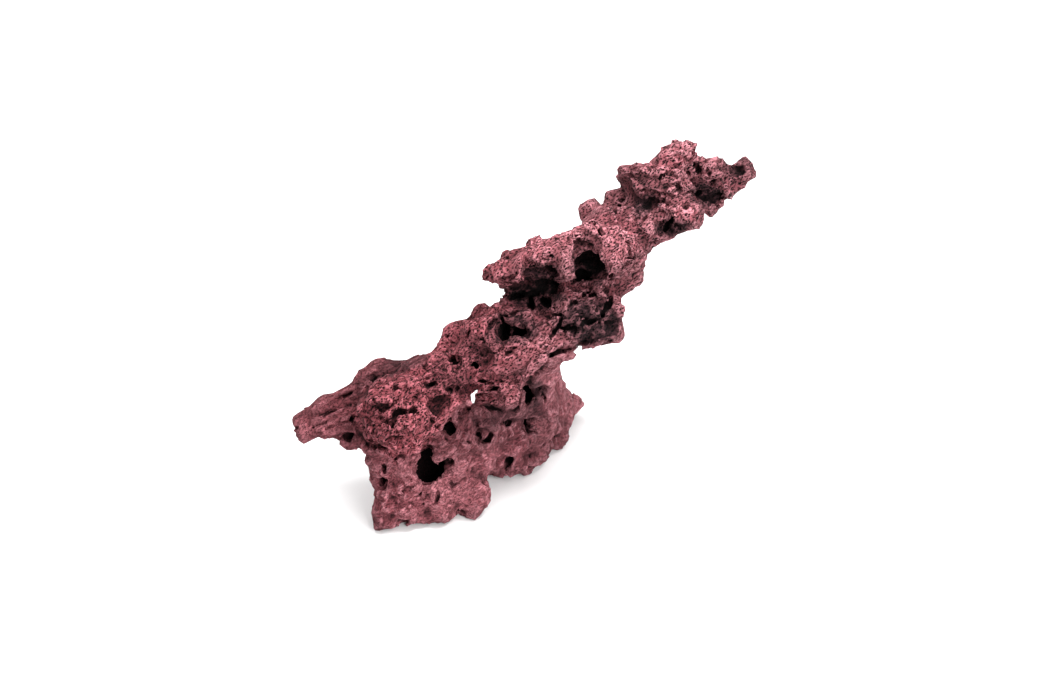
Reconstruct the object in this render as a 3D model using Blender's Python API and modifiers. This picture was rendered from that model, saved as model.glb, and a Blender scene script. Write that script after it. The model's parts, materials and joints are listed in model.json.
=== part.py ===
"""A dry reef rock: a perforated foot wall that carries a long, leaning arm of porous rock.

The arm's broad face leans back, so its lumps are placed on that face: u runs to the right, v up the face
and w out of it. The foot's lumps are placed from the floor, in x, y and z. Sizes are in millimetres and
the finished mesh is in metres, +Z up, with its origin on the floor under the middle of the rock."""

import math
from collections import namedtuple

import bmesh
import bpy
from mathutils import Euler, Matrix

MM = 0.001

# The arm's face: how far it is turned up from lying flat, and the point where u, v and w are all zero.
FACE_TURNED_UP = math.radians(48)
FACE_CENTRE = (0, -51, 181)

# The skin: the grain of the joined lumps, the finer grain of the craggy skin, how often the seams
# between lumps are smoothed, how round a lump is made, and the share of faces kept at the end.
LUMP_GRAIN = 3.0
SKIN_GRAIN = 2.2
BLEND_ROUNDS = 2
ROUND_DETAIL = 3
FACES_KEPT = 0.07

# The noise that pushes the skin in and out: its pattern, its grain, its depth, and the noise level
# at which the skin stays where it is.
Noise = namedtuple("Noise", "pattern grain depth still")
LUMPS = Noise("CLOUDS", 20, 10, 0.5)
CRAGS = Noise("VORONOI", 13, 8, 0.6)

# The floor cutter: how far it reaches past the foot to each side, and how deep.
FLOOR_HALF = (260, 200, 30)

# Dusty pink stone, as linear colour and roughness.
STONE_COLOUR = (0.21, 0.07, 0.08, 1)
STONE_ROUGHNESS = 0.95

# A form is where it stands, its half sizes and its turn about the three axes in degrees.
Form = namedtuple("Form", "at half turn", defaults=[(0, 0, 0)])

# The low end of the arm: a rounded head with a bent rim down its left side and a brow over a groove.
LOW_HEAD = [
    Form((-100, -50, -30), (32, 30, 30)),
    Form((-96, -30, -32), (34, 12, 28), (0, 0, 5)),
    Form((-130, -38, -26), (17, 6, 12), (0, 0, 57)),
    Form((-127, -61, -26), (18, 6, 13), (0, 0, -48)),
    Form((-100, -72, -30), (20, 12, 23)),
    Form((-76, -54, -34), (13, 17, 22)),
    Form((-112, -38, -6), (17, 5, 8), (0, 0, 8)),
]
HEAD_HOLLOWS = [
    Form((-114, -46, 1), (17, 4, 9), (0, 0, 12)),
    Form((-98, -49, 2), (5, 5, 9)),
    Form((-88, -49, 0), (4, 4, 8)),
    Form((-102, -73, -4), (8, 6, 8)),
]

# The saddle between the head and the arm's middle, with a ridge along its lower edge.
SADDLE = [
    Form((-68, -28, -42), (26, 18, 28), (0, 0, 15)),
    Form((-80, -14, -46), (26, 12, 26), (0, 0, 12)),
    Form((-55, -44, -36), (16, 7, 18), (0, 0, 35)),
    Form((-50, -14, -36), (18, 20, 26)),
]
SADDLE_HOLLOWS = [
    Form((-70, -46, -10), (15, 7, 10), (0, 0, -40)),
    Form((-58, -8, -6), (11, 8, 16), (0, 0, -45)),
    Form((-74, -27, -8), (8, 3, 10), (0, 0, 15)),
]

# The arm's middle: a block with a smooth band across it, and the lip that hangs below the band.
MIDDLE = [
    Form((-16, 6, -36), (34, 30, 32), (0, 0, 20)),
    Form((-38, 13, -32), (16, 16, 24)),
    Form((12, 4, -34), (26, 24, 28)),
    Form((-8, -10, -20), (34, 11, 18), (0, 0, 25)),
    Form((14, -8, -10), (14, 7, 10), (0, 0, 40)),
    Form((-24, 30, -32), (12, 7, 16), (0, 0, 20)),
    Form((-20, -30, -26), (23, 10, 15), (0, 0, -12)),
    Form((-14, -39, -24), (12, 8, 12)),
    Form((-5, -34, -24), (6, 11, 12)),
]
MIDDLE_HOLLOWS = [
    Form((-18, 14, -8), (6, 12, 24)),
    Form((-2, 14, -8), (9, 6, 22), (0, 0, -20)),
    Form((-25, -26, -6), (11, 3, 9), (0, 0, -12)),
    Form((-44, 16, -6), (4, 9, 10), (0, 0, -15)),
]

# The block under the shelf, with an ear at its top and a dark corner at its lower right.
UNDER_SHELF = [
    Form((44, 26, -36), (34, 23, 32)),
    Form((64, 20, -36), (16, 17, 26)),
    Form((74, 34, -26), (8, 13, 16)),
    Form((60, 46, -24), (17, 8, 16), (0, 0, -35)),
    Form((73, 14, -30), (7, 9, 16)),
    Form((52, 8, -38), (24, 6, 22)),
]
# What closes the recess under the shelf and the hollows of the high end from behind.
ARM_BACK = [
    Form((12, 46, -52), (27, 17, 22)),
    Form((-10, 48, -46), (13, 12, 16)),
    Form((52, 52, -54), (34, 20, 22)),
    Form((84, 53, -38), (11, 9, 16)),
    Form((142, 126, -60), (26, 15, 14)),
    Form((90, 120, -52), (18, 14, 18)),
]

UNDER_SHELF_HOLLOWS = [
    Form((63, 34, -6), (4, 8, 12), (0, 0, -25)),
    Form((36, 16, -2), (8, 6, 10)),
    Form((2, 43, -6), (20, 8, 26)),
    Form((6, 34, -6), (5, 11, 20)),
]

# The shelf: a wedge with a flat underside, a point at its left and teeth along its front edge.
SHELF = [
    Form((70, 80, -18), (27, 24, 28)),
    Form((70, 66, -2), (9, 11, 11)),
    Form((28, 76, -28), (30, 18, 28), (0, 0, 15)),
    Form((-8, 68, -24), (23, 11, 22), (0, 0, 15)),
    Form((-27, 65, -24), (12, 8, 12), (0, 0, 15)),
    Form((-6, 66, -6), (5, 12, 12), (0, 0, -15)),
    Form((34, 66, -1), (7, 13, 9)),
    Form((40, 93, -18), (13, 7, 14)),
    Form((58, 94, -4), (12, 5, 9), (0, 0, -55)),
    Form((90, 66, -40), (9, 16, 22)),
]
SHELF_HOLLOWS = [
    Form((52, 68, 0), (18, 13, 26), (0, 0, -12)),
    Form((14, 65, 2), (13, 8, 15), (0, 0, 20)),
]
UNDERCUTS = [
    Form((14, 50, 0), (40, 6, 24)),
]

# The neck and the high end of the arm: a ledge, a knob above it, a round lump below it and the tip.
HIGH_END = [
    Form((92, 98, -36), (30, 22, 30), (0, 0, 30)),
    Form((66, 102, -38), (24, 16, 26), (0, 0, 30)),
    Form((100, 84, -44), (16, 7, 18), (0, 0, 40)),
    Form((115, 101, -38), (18, 13, 22), (0, 0, 25)),
    Form((108, 132, -26), (27, 14, 26)),
    Form((128, 113, -26), (20, 17, 24)),
    Form((119, 157, -34), (19, 11, 22), (0, 0, 20)),
    Form((136, 166, -32), (8, 9, 11)),
    Form((150, 146, -42), (18, 13, 18)),
    Form((172, 143, -44), (17, 12, 15), (0, 0, 15)),
    Form((178, 152, -44), (6, 7, 7)),
    Form((187, 142, -44), (7, 5, 8)),
    Form((162, 131, -46), (9, 8, 12)),
    Form((153, 114, -54), (10, 6, 10), (0, 0, 35)),
    Form((72, 128, -42), (10, 4, 9)),
    Form((74, 114, -36), (9, 8, 12)),
]
LEDGES = [
    Form((104, 143, -22), (27, 3, 18)),
    Form((79, 144, -24), (7, 3, 8), (0, 0, 10)),
]
HIGH_END_HOLLOWS = [
    Form((146, 123, -26), (14, 7, 24), (0, 0, 5)),
    Form((172, 143, -26), (5, 5, 8)),
    Form((114, 98, -8), (4, 13, 12), (0, 0, -30)),
    Form((86, 116, -4), (10, 4, 12), (0, 0, -40)),
    Form((104, 124, 2), (22, 4, 10)),
]

# Knobs on the arm's far side.
FAR_KNOBS = [
    Form((-54, 12, -64), (13, 13, 14)),
    Form((-62, 2, -56), (10, 9, 12)),
    Form((-39, 30, -58), (10, 8, 12)),
    Form((55, 112, -68), (13, 11, 16)),
    Form((12, 86, -48), (12, 8, 14)),
    Form((-10, 76, -44), (10, 7, 12)),
]

# The tail: a long slab behind the head, ending in a blunt point, with a small block below it.
TAIL_ROUNDS = [
    Form((-110, -28, -64), (32, 18, 18), (0, 0, 22)),
    Form((-128, -56, -68), (22, 20, 14)),
    Form((-184, -64, -76), (6, 8, 7), (0, 0, 20)),
    Form((-130, -19, -66), (20, 8, 12), (0, 0, 38)),
    Form((-108, -14, -62), (16, 7, 12), (0, 0, 12)),
]
TAIL_HOLLOWS = [
    Form((-142, -36, -56), (6, 2, 8), (0, 0, 25)),
    Form((-148, -74, -62), (4, 4, 9)),
]
TAIL_SLABS = [
    Form((-146, -46, -68), (32, 16, 11), (0, 0, 30)),
    Form((-168, -58, -72), (22, 11, 9), (0, 0, 25)),
    Form((-143, -72, -72), (12, 9, 9), (0, 0, 5)),
]

# The gap seen between the arm's lower edge and the foot, cut straight through.
THROUGH_GAP = [
    Form((-44, -38, -70), (4, 3, 62)),
]

# The foot wall, from its toe at the front left to its right end at the back, in x, y and z.
FOOT = [
    Form((-112, -66, 16), (15, 15, 20)),
    Form((-118, -71, 12), (13, 13, 16)),
    Form((-122, -56, 58), (12, 12, 18)),
    Form((-106, -56, 42), (24, 18, 38)),
    Form((-106, -48, 78), (27, 20, 30)),
    Form((-78, -56, 22), (28, 18, 28)),
    Form((-97, -68, 12), (14, 12, 15)),
    Form((-75, -62, 13), (16, 14, 17)),
    Form((-56, -50, 18), (26, 18, 23)),
    Form((-43, -55, 13), (14, 13, 16)),
    Form((-72, -42, 62), (30, 20, 34)),
    Form((-46, -28, 57), (28, 21, 42)),
    Form((-20, -2, 44), (26, 22, 50)),
    Form((4, 16, 48), (26, 24, 54)),
    Form((20, 38, 42), (16, 22, 44)),
    Form((34, 52, 18), (12, 18, 22)),
    Form((46, 62, 16), (9, 8, 9)),
    Form((-18, -10, 10), (12, 13, 15)),
    Form((0, -4, 10), (12, 13, 15)),
    Form((13, 7, 12), (11, 12, 14)),
    Form((26, 25, 12), (10, 12, 14)),
    Form((0, 12, 100), (31, 22, 32)),
    Form((17, 28, 92), (12, 18, 30)),
    Form((30, 28, 108), (14, 12, 7)),
    Form((0, 4, 134), (32, 22, 26)),
    Form((-90, -40, 106), (26, 20, 24)),
    Form((-68, -32, 100), (15, 16, 18)),
    Form((-26, -12, 100), (12, 16, 18)),
]

# The foot's rear, a rough buttress that slopes down from the wall to a row of low lumps on the floor.
REAR_BUTTRESS = [
    Form((-84, -26, 34), (20, 18, 40), (0, 0, 20)),
    Form((-66, -10, 22), (18, 17, 27), (12, 0, 0)),
    Form((-50, 4, 18), (16, 15, 24)),
    Form((-34, 18, 22), (17, 16, 25), (-10, 0, 0)),
    Form((-22, 36, 14), (16, 15, 20)),
    Form((-6, 34, 34), (20, 16, 34), (10, 0, 0)),
    Form((-3, 56, 15), (16, 14, 20)),
    Form((16, 52, 30), (16, 15, 30), (0, 10, 0)),
    Form((16, 72, 12), (15, 13, 16)),
    Form((2, 24, 78), (22, 16, 26), (15, 0, 0)),
    Form((30, 70, 10), (10, 10, 13)),
]

# Holes and pits in the foot wall.
FOOT_HOLLOWS = [
    Form((-82, -60, 56), (9, 26, 15)),
    Form((-118, -62, 44), (4, 14, 10), (0, 12, 0)),
    Form((-62, -50, 90), (6, 14, 6)),
    Form((-35, -44, 76), (8, 14, 6)),
    Form((-42, -40, 88), (3, 12, 6)),
    Form((-12, -22, 71), (5, 14, 5)),
    Form((4, -12, 59), (7, 14, 7)),
    Form((29, 3, 54), (4, 12, 5)),
    Form((-14, -24, 28), (6, 12, 6)),
    Form((2, -4, 90), (9, 16, 10)),
    Form((15, -6, 94), (4, 14, 9)),
    Form((34, 16, 104), (12, 10, 3)),
    Form((-101, -70, 78), (6, 8, 5)),
    Form((-119, -66, 85), (6, 8, 4)),
]


def face_matrix():
    """The matrix that carries u, v, w on the arm's face to x, y, z."""
    return Matrix.Translation(FACE_CENTRE) @ Matrix.Rotation(FACE_TURNED_UP, 4, "X")


def placed(form, frame):
    """The matrix of a unit shape stretched, turned and put where the form says, in metres."""
    turn = Euler([math.radians(angle) for angle in form.turn]).to_matrix().to_4x4()
    stretch = Matrix.Diagonal((*form.half, 1))
    return Matrix.Scale(MM, 4) @ frame @ Matrix.Translation(form.at) @ turn @ stretch


def mesh_object(name, collection, rounds=(), slabs=()):
    """One mesh of overlapping lumps and slabs; rounds and slabs are pairs of forms and their frame."""
    shape = bmesh.new()
    for forms, frame in rounds:
        for form in forms:
            spot = placed(form, frame)
            bmesh.ops.create_icosphere(shape, subdivisions=ROUND_DETAIL, radius=1, matrix=spot)
    for forms, frame in slabs:
        for form in forms:
            bmesh.ops.create_cube(shape, size=2, matrix=placed(form, frame))
    mesh = bpy.data.meshes.new(name)
    shape.to_mesh(mesh)
    shape.free()
    made = bpy.data.objects.new(name, mesh)
    collection.objects.link(made)
    return made


def cutter(name, collection, rounds=(), slabs=()):
    """A mesh of lumps and slabs that only cuts, shown as wires and never rendered."""
    made = mesh_object(name, collection, rounds, slabs)
    made.hide_render = True
    made.display_type = "WIRE"
    return made


def roughen(target, name, noise):
    """Moves the surface in and out by a noise texture."""
    texture = bpy.data.textures.new(name, noise.pattern)
    texture.noise_scale = noise.grain * MM
    bump = target.modifiers.new(name, "DISPLACE")
    bump.texture = texture
    bump.strength = noise.depth * MM
    bump.mid_level = noise.still


def fuse(target, grain):
    """Joins all overlapping lumps in one closed skin of that grain."""
    skin = target.modifiers.new("one skin", "REMESH")
    skin.mode = "VOXEL"
    skin.voxel_size = grain * MM


def cut_away(target, name, tool):
    """Cuts the tool's shape out of the target."""
    cut = target.modifiers.new(name, "BOOLEAN")
    cut.object = tool


def rock_material():
    """Matt, dusty pink stone."""
    material = bpy.data.materials.new("dusty pink reef rock")
    material.use_nodes = True
    surface = material.node_tree.nodes["Principled BSDF"]
    surface.inputs["Base Color"].default_value = STONE_COLOUR
    surface.inputs["Roughness"].default_value = STONE_ROUGHNESS
    return material


def rock_lumps(collection):
    """The rock's lumps, ledges and slabs, not yet joined."""
    arm = [LOW_HEAD, SADDLE, MIDDLE, UNDER_SHELF, SHELF, HIGH_END]
    arm += [ARM_BACK, FAR_KNOBS, TAIL_ROUNDS]
    face = face_matrix()
    floor = Matrix.Identity(4)
    rounds = [(forms, face) for forms in arm] + [(FOOT, floor), (REAR_BUTTRESS, floor)]
    slabs = [(TAIL_SLABS, face), (LEDGES, face)]
    made = mesh_object("rock", collection, rounds, slabs)
    made.data.materials.append(rock_material())
    return made


def hollow_cutter(collection):
    """All hollows of the arm and the foot as one cutter."""
    arm = [HEAD_HOLLOWS, SADDLE_HOLLOWS, MIDDLE_HOLLOWS, UNDER_SHELF_HOLLOWS, SHELF_HOLLOWS]
    arm += [HIGH_END_HOLLOWS, TAIL_HOLLOWS, THROUGH_GAP]
    face = face_matrix()
    rounds = [(forms, face) for forms in arm] + [(FOOT_HOLLOWS, Matrix.Identity(4))]
    made = cutter("hollows", collection, rounds, [(UNDERCUTS, face)])
    fuse(made, LUMP_GRAIN)
    return made


def floor_cutter(collection):
    """A slab just below the floor, which gives the rock its flat base."""
    below = Form((0, 0, -FLOOR_HALF[2]), FLOOR_HALF)
    return cutter("below the floor", collection, slabs=[([below], Matrix.Identity(4))])


def rock():
    """The whole rock: its lumps joined, made craggy, hollowed and levelled at the base."""
    rock_parts = bpy.data.collections.new("dry reef rock")
    cutters = bpy.data.collections.new("cutters")
    bpy.context.scene.collection.children.link(rock_parts)
    bpy.context.scene.collection.children.link(cutters)
    made = rock_lumps(rock_parts)
    fuse(made, LUMP_GRAIN)
    blend = made.modifiers.new("blend", "SMOOTH")
    blend.iterations = BLEND_ROUNDS
    roughen(made, "lumps", LUMPS)
    roughen(made, "crags", CRAGS)
    fuse(made, SKIN_GRAIN)
    cut_away(made, "hollows", hollow_cutter(cutters))
    fuse(made, SKIN_GRAIN)
    thin = made.modifiers.new("fewer faces", "DECIMATE")
    thin.ratio = FACES_KEPT
    cut_away(made, "flat base", floor_cutter(cutters))


for old in list(bpy.data.objects):
    bpy.data.objects.remove(old)
rock()
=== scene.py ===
"""A dry reef rock on a pale floor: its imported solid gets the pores, pits and ridges of dry reef rock."""

import json
import math
from collections import namedtuple
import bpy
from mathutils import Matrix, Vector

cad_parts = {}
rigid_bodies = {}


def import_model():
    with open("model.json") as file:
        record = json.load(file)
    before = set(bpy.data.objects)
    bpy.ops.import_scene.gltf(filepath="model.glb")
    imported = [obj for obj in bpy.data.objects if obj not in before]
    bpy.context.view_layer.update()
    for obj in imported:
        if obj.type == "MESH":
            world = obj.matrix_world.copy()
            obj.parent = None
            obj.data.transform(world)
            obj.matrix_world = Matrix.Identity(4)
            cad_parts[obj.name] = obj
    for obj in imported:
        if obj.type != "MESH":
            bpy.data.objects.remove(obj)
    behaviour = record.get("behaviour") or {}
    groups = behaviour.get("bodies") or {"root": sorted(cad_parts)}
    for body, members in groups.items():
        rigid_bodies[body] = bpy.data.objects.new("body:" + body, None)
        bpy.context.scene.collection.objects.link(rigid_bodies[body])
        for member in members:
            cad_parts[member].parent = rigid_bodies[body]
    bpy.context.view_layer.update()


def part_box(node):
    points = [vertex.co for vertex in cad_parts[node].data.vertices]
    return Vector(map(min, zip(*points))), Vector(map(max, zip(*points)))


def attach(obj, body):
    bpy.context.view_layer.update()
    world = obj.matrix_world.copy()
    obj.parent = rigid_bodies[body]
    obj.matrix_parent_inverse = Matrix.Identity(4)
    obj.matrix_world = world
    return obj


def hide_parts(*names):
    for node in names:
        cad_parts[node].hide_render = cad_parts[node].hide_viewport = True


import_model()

from concurrent.futures import ThreadPoolExecutor

import bpy
import numpy as np
from mathutils import Vector
from mathutils.bvhtree import BVHTree

MM = 0.001

# The arm's broad face leans back: u runs right along it, v up it and w out of it, in millimetres.
FACE_TURNED_UP = math.radians(48)
FACE_CENTRE = np.array([0.0, -51.0, 181.0])

# The view that the photograph has: straight at the arm's face, from this far, and showing a width
# of this much there, in millimetres.
VIEW_FROM = 2000.0
VIEW_WIDTH = 840

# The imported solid's facets are rounded off on an even grain, in millimetres, in a few rounds.
EVEN_GRAIN = 2.0
EASE_ROUNDS = 3

# The grid that the surface is read from: its grain, the coarser steps that it is built up in,
# how near to the surface its distances are exact and the roughness is worked in, all in
# millimetres, and how many points are worked at once.
GRAIN = 1.0
COARSE_STEPS = 2
MIDDLE_STEPS = 2
NEAR = 8.0
REACH = 5.0
SHARE = 60_000

# The surface keeps most of its triangles on the side that is seen, this many millimetres deep,
# told apart in columns of this width.
FRONT_TRIANGLES = 152_000
BACK_TRIANGLES = 44_000
FRONT_DEPTH = 24.0
COLUMN = 4.0

# A crest is where the skin stands out from the mean round it, this many cells each way, with
# distances from the skin counted up to this many millimetres.
FINE_CREST = 2
BROAD_CREST = 6
CREST_LIMIT = 6

# Numbers that mix a cell's place and a pattern's number into an even spread.
CELL_FACTORS = np.array([73856093, 19349663, 83492791], dtype=np.uint32)
PATTERN_FACTOR = 7919
MIXES = [(15, 2246822519), (13, 3266489917), (16, 1)]

# Each kind of roughness: how wide it is and how far it goes in or out, in millimetres, and the
# number of its noise pattern.
Relief = namedtuple("Relief", "wide deep pattern")
SCOOPS = Relief(16, 4.2, 61)
SMALL_SCOOPS = Relief(7.5, 1.6, 63)
CHIPS = Relief(4.2, 0.65, 65)
CREASES = Relief(3.2, 0.8, 3)
GRIT = Relief(1.9, 0.7, 4)
PITS = Relief(7, 3.0, 11)
PORES = Relief(3.3, 1.8, 21)
GROOVES = Relief(4.4, 1.6, 51)
FINE_GROOVES = Relief(2.1, 1.3, 52)
FLUTES = Relief(5, 1.0, 53)
FOOT_CHIPS = Relief(6, 0.5, 54)

# What bends the roughness, what makes the rims of hollows ragged, how far the border of foot and
# tail wanders, and how far the patches of colour and the grain in the colour do.
BENDS = [Relief(9, 2.6, 300), Relief(3.6, 1.0, 310)]
RAGGED_RIMS = [Relief(5.5, 1.0, 400), Relief(2.6, 0.45, 410)]
BORDER_WANDERS = [Relief(7, 2.6, 521), Relief(3, 1.4, 522)]
PATCH_WANDERS = [Relief(14, 6, 501), Relief(14, 6, 502)]
COLOUR_BENDS = [Relief(6, 1.0, 520)]

# How much of the coarse and of the fine roughness is lost in smooth patches, on the tail and
# on the foot.
Lost = namedtuple("Lost", "smooth tail foot")
ROUGH_LOST = Lost(0.75, 0.8, 0.6)
FINE_LOST = Lost(0.5, 0.6, 0.25)

# The way that the rock's grain and the tail's grooves run up the face, in degrees, and how many
# times longer than wide pits, creases, grooves and the pores in the colour are.
GRAIN_RUNS = 42
GROOVES_RUN = 27
LONG_PITS = 1.5
LONG_CREASES = 2.2
LONG_GROOVES = 12
LONG_PORES = 1.9

# How far the foot is cut back under the arm's edge, and the tail behind the bulb's rim. The gap
# between arm and foot, at this u, has no such cut.
EDGE_CUT = 3.6
RIM_CUT = 2.6
GAP_AT = -44

# The soft lights: where each is, what it is turned to and how wide it is, in metres, and its watts.
Softbox = namedtuple("Softbox", "name place aim width watts")
SOFTBOXES = [
    Softbox("key softbox", (0.7, 0.05, 2.0), (0, 0, 0.15), 0.5, 46),
    Softbox("overhead softbox", (0.0, 0.1, 1.8), (0, 0.1, 0), 1.9, 36),
    Softbox("front softbox", (1.2, -1.6, 1.3), (0, 0, 0.12), 1.4, 52),
    Softbox("rear softbox", (-1.0, 1.1, 1.4), (0, 0, 0.15), 0.9, 20),
]
ROOM_LIGHT = 0.38
FLOOR_HALF = 4.0

# Hollows and added forms: where they are seen on the face, their half width and half height there,
# how far they go in or stand out, and their turn in degrees, all in millimetres. Some added forms
# start sunk below the skin. A patch has no depth.
Hollow = namedtuple("Hollow", "u v wide high deep turn", defaults=[0])
Added = namedtuple("Added", "u v wide high out turn sunk", defaults=[0, 0])
Patch = namedtuple("Patch", "u v wide high turn", defaults=[0])

TAIL_HOLLOWS = [
    Hollow(-140.8, -35.2, 6.5, 1.5, 7, 27),
    Hollow(-122.4, -20.8, 2.2, 3.2, 3),
    Hollow(-118.0, -26.0, 2.6, 1.6, 3, 20),
    Hollow(-182.4, -62.4, 6, 2, 7, 20),
    Hollow(-160.0, -52.0, 14, 1.2, 3, 20),
    Hollow(-168.0, -61.0, 12, 1.0, 3, 14),
    Hollow(-148.0, -59.0, 14, 1.1, 3, 22),
    Hollow(-141.6, -69.6, 5.5, 4.8, 8),
]
BULB_HOLLOWS = [
    Hollow(-116.8, -45.6, 14, 3, 4, 15),
    Hollow(-99.2, -49.6, 3.8, 2.6, 7),
    Hollow(-88.8, -48.8, 3.2, 2.4, 7),
    Hollow(-104.8, -51.2, 1.4, 2.4, 4),
    Hollow(-120.8, -39.2, 1.8, 1.5, 4),
    Hollow(-104.0, -30.4, 2.4, 1.6, 3),
    Hollow(-90.4, -31.2, 2.8, 1.5, 3.5, 20),
    Hollow(-104.8, -72.0, 8, 4.5, 4, -10),
    Hollow(-100.0, -76.8, 5, 4, 4),
    Hollow(-116.0, -77.0, 6, 1.6, 5, -5),
    Hollow(-75.2, -57.6, 1.8, 3.2, 6, -10),
    Hollow(-71.2, -64.0, 1.6, 2.6, 5),
    Hollow(-68.8, -61.6, 1.5, 1.5, 5),
    Hollow(-98.0, -40.0, 9, 1.2, 3, 12),
    Hollow(-112.0, -58.0, 10, 1.0, 2.5, -35),
]
SADDLE_HOLLOWS = [
    Hollow(-69.6, -44.0, 12, 7, 5, 20),
    Hollow(-57.6, -8.0, 7, 6, 9),
    Hollow(-55.2, -14.4, 3, 5, 7),
    Hollow(-73.6, -27.2, 4.5, 2, 8, 15),
    Hollow(-80.8, -14.4, 5, 1.0, 3.5, -45),
    Hollow(-42.4, -9.6, 6.5, 1.3, 5, -42),
    Hollow(-63.2, -24.0, 7, 1.1, 5, 5),
    Hollow(-77.6, -20.8, 4, 1.0, 4, 10),
    Hollow(-45.5, -46.5, 1.8, 3.0, 5, 20),
    Hollow(-56.0, -30.0, 6, 3, 4, 20),
    Hollow(-84.0, -25.0, 7, 1.0, 4, 8),
]
BLOCK_HOLLOWS = [
    Hollow(-16.8, 15.2, 3.8, 10, 11, 5),
    Hollow(-23.0, 12.0, 5, 5, 4, 40),
    Hollow(-1.6, 15.2, 7.2, 3.4, 13, -15),
    Hollow(-4.8, 12.4, 4, 2.6, 11),
    Hollow(8.0, 20.8, 1.5, 2.8, 6, -10),
    Hollow(-44.0, 23.2, 1.5, 2.6, 6),
    Hollow(-45.6, 12.8, 6, 1.7, 7, 60),
    Hollow(-34.4, 9.6, 3.2, 1.3, 6, 10),
    Hollow(-27.2, 20.0, 3, 1.1, 5, 50),
    Hollow(-30.0, 14.5, 3.5, 1.0, 4, 45),
    Hollow(-24.0, 7.0, 2.5, 1.1, 5),
    Hollow(-20.0, 0.0, 3.4, 1.6, 4),
    Hollow(-13.0, -2.4, 3, 1.5, 4, 20),
    Hollow(-8.0, 1.2, 2.4, 1.3, 4),
    Hollow(-44.0, 1.6, 2.6, 1.4, 5, 30),
    Hollow(-4.0, 6.4, 9, 1.1, 4, 5),
    Hollow(-32.8, -25.2, 5.5, 1.2, 8, -8),
    Hollow(-23.2, -30.4, 5.5, 1.5, 9, 15),
    Hollow(-7.2, -25.6, 5.5, 1.2, 8, 18),
    Hollow(-16.0, -26.5, 6, 1.0, 4, -10),
    Hollow(1.6, -33.6, 5.5, 10, 14, 8),
    Hollow(-33.0, -41.5, 6, 1.4, 7, -35),
    Hollow(-22.0, -46.5, 6, 1.6, 8, -18),
    Hollow(-10.0, -47.0, 6, 1.6, 8, 10),
]
RECESS_HOLLOWS = [
    Hollow(-3.2, 44.0, 8.5, 2.8, 15, 12),
    Hollow(4.8, 37.6, 3.3, 7, 15),
    Hollow(16.8, 39.2, 6.2, 2.6, 12, -35),
    Hollow(8.0, 46.4, 6.5, 4.5, 14),
    Hollow(-1.6, 31.2, 5, 1.3, 6, 70),
    Hollow(-7.2, 29.6, 3, 1.2, 5, 15),
    Hollow(-19.2, 24.8, 2.2, 2.2, 7),
    Hollow(24.0, 33.0, 1.4, 4, 4, 10),
]
SHELF_HOLLOWS = [
    Hollow(-17.6, 56.4, 14, 2.2, 10, -8),
    Hollow(-10.4, 56.8, 6, 2.6, 11),
    Hollow(12.0, 63.2, 15, 7, 8, 8),
    Hollow(23.6, 62.4, 4.2, 5.5, 16),
    Hollow(28.0, 72.0, 1.4, 3.2, 7),
    Hollow(51.5, 69.5, 14, 11, 9, -15),
    Hollow(45.0, 61.5, 8, 4, 9),
    Hollow(62.0, 60.5, 11, 4, 9, -5),
    Hollow(68.0, 66.0, 9, 2.2, 8, 10),
    Hollow(46.4, 82.4, 9, 6, 6, -30),
    Hollow(71.2, 59.2, 8, 1.9, 9, 10),
    Hollow(80.0, 65.6, 5, 4, 5, 45),
    Hollow(82.4, 85.6, 3.2, 1.1, 5, -20),
    Hollow(83.2, 80.0, 1.5, 3.2, 5),
    Hollow(84.8, 73.6, 3.6, 1.5, 5),
    Hollow(59.6, 93.6, 6.5, 1.2, 6, -55),
    Hollow(55.2, 101.6, 5, 1.2, 4, -40),
    Hollow(69.6, 96.8, 2, 1.4, 4),
    Hollow(36.8, 92.8, 2.6, 1.6, 4),
    Hollow(41.6, 91.2, 2.0, 1.6, 4),
    Hollow(50.4, 93.6, 1.6, 2.2, 4),
    Hollow(25.6, 89.6, 4, 1.0, 4, 10),
    Hollow(21.6, 75.2, 2.2, 1.6, 3),
    Hollow(6.0, 50.0, 25, 7, 9, -2),
    Hollow(12.0, 54.4, 20, 2.2, 10, -2),
    Hollow(44.0, 56.8, 18, 1.3, 8, 2),
    Hollow(-19.5, 45.5, 7, 4.5, 16, -15),
]
UNDER_HOLLOWS = [
    Hollow(49.6, 43.6, 6.2, 1.3, 7, 8),
    Hollow(32.8, 17.6, 6, 2.3, 9, 15),
    Hollow(39.2, 15.2, 3, 3, 7),
    Hollow(25.6, 17.6, 4.8, 1.3, 7, 55),
    Hollow(64.0, 32.0, 8.5, 2.7, 11, 62),
    Hollow(28.0, 28.8, 1.7, 1.6, 5),
    Hollow(69.6, 16.0, 6, 7, 5),
    Hollow(50.4, 32.0, 9, 6, 4, 10),
    Hollow(43.0, 27.0, 4, 1.2, 5, -30),
    Hollow(56.0, 24.0, 5, 1.4, 5, 20),
    Hollow(66.4, 47.2, 6.5, 4, 7, -45),
    Hollow(52.0, 6.8, 12, 1.0, 5, 2),
    Hollow(37.0, 36.0, 4, 1.1, 4, 30),
    Hollow(46.0, 20.0, 4, 1.3, 5, 60),
]
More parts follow.
